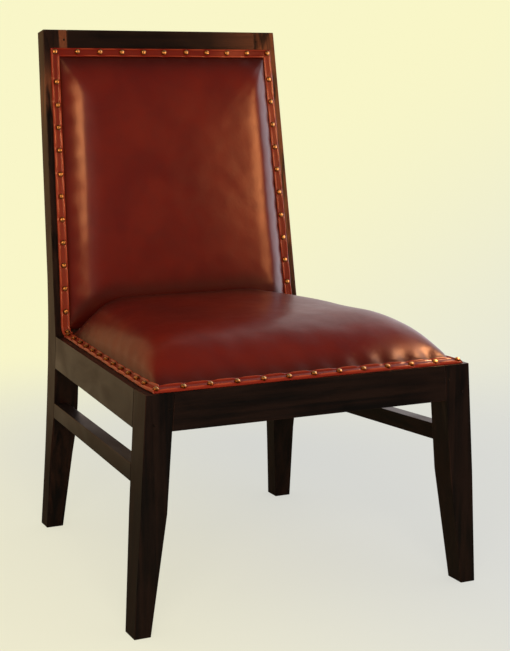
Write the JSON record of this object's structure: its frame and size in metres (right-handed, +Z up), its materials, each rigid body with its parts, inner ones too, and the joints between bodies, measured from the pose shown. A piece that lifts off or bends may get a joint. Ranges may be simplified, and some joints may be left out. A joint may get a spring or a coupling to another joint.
{
  "type": "parsons chair",
  "caption": "Armless dining chair with a dark wood frame, a high raked back and a nailed leather seat and back pad; stands on its feet.",
  "frame": {"origin": "middle of the chair's bounding box, on the floor under its feet", "axes": "+Z up; the sitter faces -Y; +X is to the right when the chair is seen from the front"},
  "size_m": [0.638, 0.6906, 0.97],
  "materials": {
    "frame_wood": "espresso stained hardwood, satin lacquer",
    "block_wood": "stained hardwood, sawn",
    "peg_wood": "dark plug of hardwood and wax",
    "plywood": "bare birch plywood",
    "foam": "upholstery foam with wadding",
    "leather": "oxblood brown leather, waxed semi-gloss",
    "band_leather": "folded leather banding, semi-gloss",
    "nail_brass": "antique brass dome, worn gloss",
    "screw_steel": "zinc plated"
  },
  "bodies": {
    "root": {"front_apron": "frame_wood", "rear_apron": "frame_wood", "side_apron_left": "frame_wood", "side_apron_right": "frame_wood", "front_leg_left": "frame_wood", "front_leg_right": "frame_wood", "rear_post_left": "frame_wood", "rear_post_right": "frame_wood", "side_stretcher_left": "frame_wood", "side_stretcher_right": "frame_wood", "back_top_rail": "frame_wood", "back_low_rail": "frame_wood", "corner_block_front_left": "block_wood", "corner_block_front_right": "block_wood", "corner_block_rear_left": "block_wood", "corner_block_rear_right": "block_wood", "block_screw_front_left": "screw_steel", "block_screw_front_right": "screw_steel", "block_screw_rear_left": "screw_steel", "block_screw_rear_right": "screw_steel", "board_screw_front_left": "screw_steel", "board_screw_front_right": "screw_steel", "board_screw_rear_left": "screw_steel", "board_screw_rear_right": "screw_steel", "leg_peg_upper_left": "peg_wood", "leg_peg_upper_right": "peg_wood", "leg_peg_lower_left": "peg_wood", "leg_peg_lower_right": "peg_wood", "rail_peg_left": "peg_wood", "rail_peg_right": "peg_wood", "seat_board": "plywood", "back_board": "plywood", "outside_back_board": "plywood", "seat_foam": "foam", "back_foam": "foam", "seat_leather": "leather", "back_leather": "leather", "outside_back_leather": "leather", "seat_band_front": "band_leather", "seat_band_left": "band_leather", "seat_band_right": "band_leather", "back_band_top": "band_leather", "back_band_left": "band_leather", "back_band_right": "band_leather", "corner_nail_seat_left": "nail_brass", "corner_nail_seat_right": "nail_brass", "corner_nail_back_left": "nail_brass", "corner_nail_back_right": "nail_brass"}
  },
  "joints": []
}
